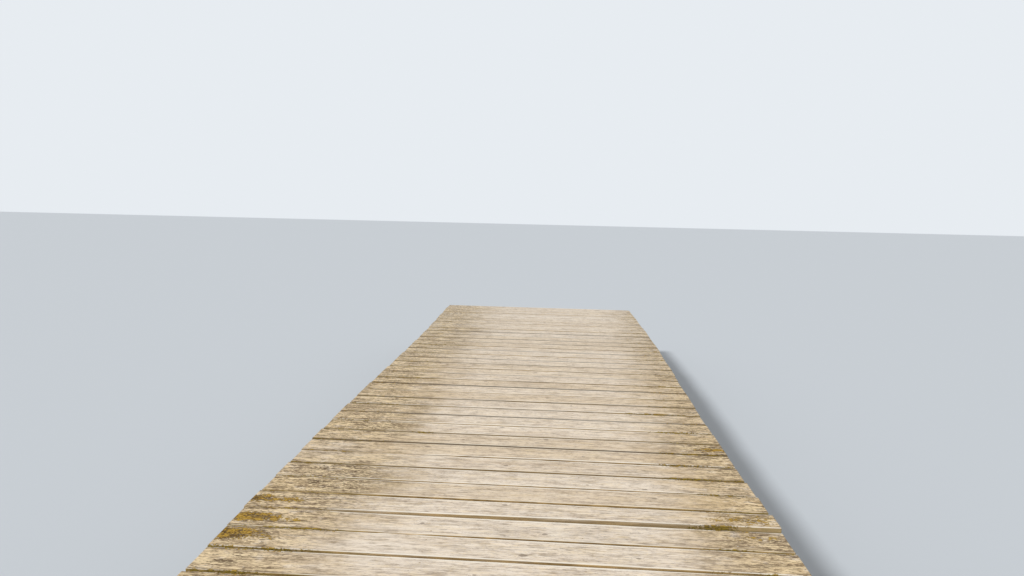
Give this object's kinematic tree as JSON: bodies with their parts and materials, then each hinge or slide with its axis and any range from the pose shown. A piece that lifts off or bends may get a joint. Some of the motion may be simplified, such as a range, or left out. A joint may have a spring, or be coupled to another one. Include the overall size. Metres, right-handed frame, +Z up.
{
  "type": "wooden jetty",
  "caption": "Straight wooden lake jetty: weathered boards laid across stringers on pairs of clamps and round piles standing in the water.",
  "frame": {"origin": "middle of the jetty's plan at the water's surface, level with the feet of the piles", "axes": "+Y along the jetty to its lake end, +X to the right of someone walking out, +Z up"},
  "size_m": [2.6359, 9.486, 0.65],
  "materials": {
    "deck_board": "weathered, bare, worn smooth along the middle",
    "stringer": "rough sawn, weathered",
    "clamp": "rough sawn, weathered",
    "pile": "round, barked, dark and damp towards the water",
    "steel_fixing": "dull, rusted"
  },
  "bodies": {
    "root": {"clamp_lake_side_1": "clamp", "clamp_lake_side_2": "clamp", "clamp_lake_side_3": "clamp", "clamp_lake_side_4": "clamp", "clamp_lake_side_5": "clamp", "clamp_shore_side_1": "clamp", "clamp_shore_side_2": "clamp", "clamp_shore_side_3": "clamp", "clamp_shore_side_4": "clamp", "clamp_shore_side_5": "clamp", "deck_boards_bay_1": "deck_board", "deck_boards_bay_2": "deck_board", "deck_boards_bay_3": "deck_board", "deck_boards_bay_4": "deck_board", "pile_left_1": "pile", "pile_left_2": "pile", "pile_left_3": "pile", "pile_left_4": "pile", "pile_left_5": "pile", "pile_right_1": "pile", "pile_right_2": "pile", "pile_right_3": "pile", "pile_right_4": "pile", "pile_right_5": "pile", "stringer_left_inner_1": "stringer", "stringer_left_inner_2": "stringer", "stringer_left_inner_3": "stringer", "stringer_left_outer_1": "stringer", "stringer_left_outer_2": "stringer", "stringer_right_inner_1": "stringer", "stringer_right_inner_2": "stringer", "stringer_right_inner_3": "stringer", "stringer_right_outer_1": "stringer", "stringer_right_outer_2": "stringer"}
  },
  "joints": []
}
